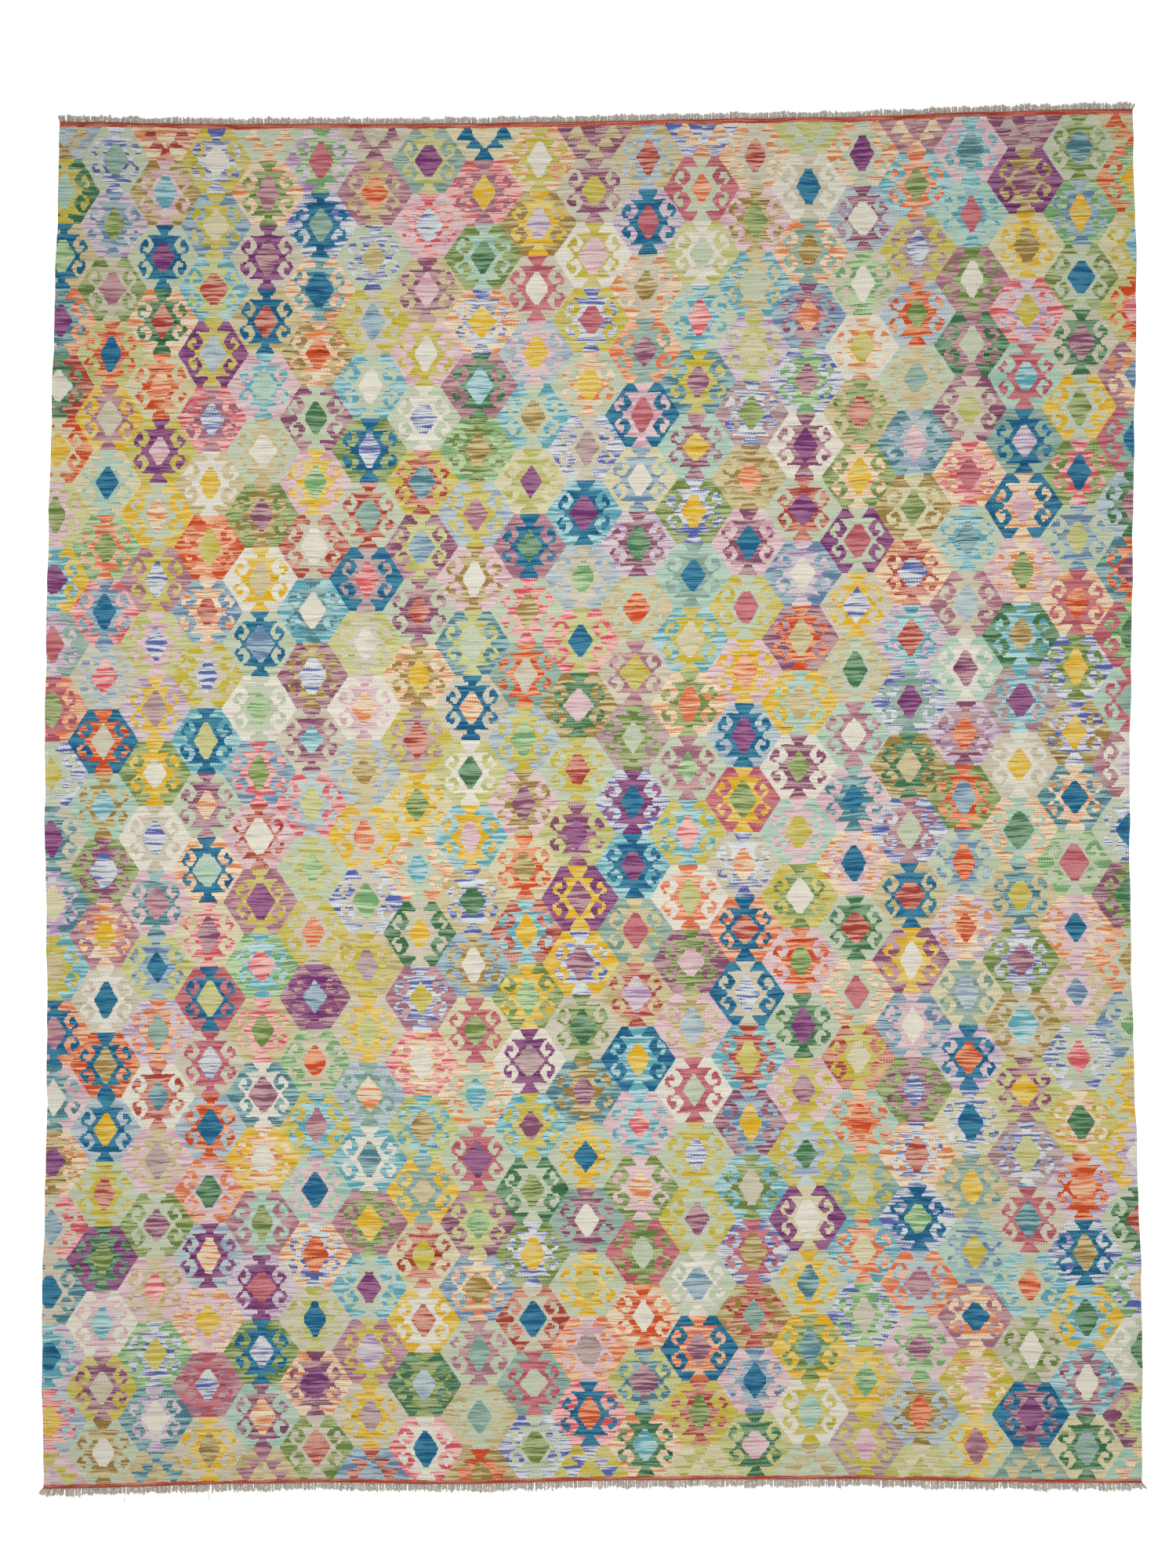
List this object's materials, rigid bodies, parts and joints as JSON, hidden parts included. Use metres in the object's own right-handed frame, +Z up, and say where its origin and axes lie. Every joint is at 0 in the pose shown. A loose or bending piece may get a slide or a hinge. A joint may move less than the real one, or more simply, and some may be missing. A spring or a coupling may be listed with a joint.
{
  "type": "kilim rug",
  "caption": "Large flat-woven wool kilim rug lying flat, with wandering hand-woven selvedges and a short cut warp fringe at both ends.",
  "frame": {"origin": "on the floor, under the middle of the box round the whole rug, fringes included", "axes": "+Z up out of the face that is walked on, +Y along the warps towards the far end, +X across the rug from the left selvedge to the right one"},
  "size_m": [3.0518, 3.8522, 0.004],
  "materials": {
    "kilim_wool": "matt handspun wool in many dyed colours, weft-faced tapestry weave",
    "warp_ends": "matt undyed grey warp yarn, cut short"
  },
  "bodies": {
    "root": {"kilim_cloth": "kilim_wool", "fringe_near": "warp_ends", "fringe_far": "warp_ends"}
  },
  "joints": []
}
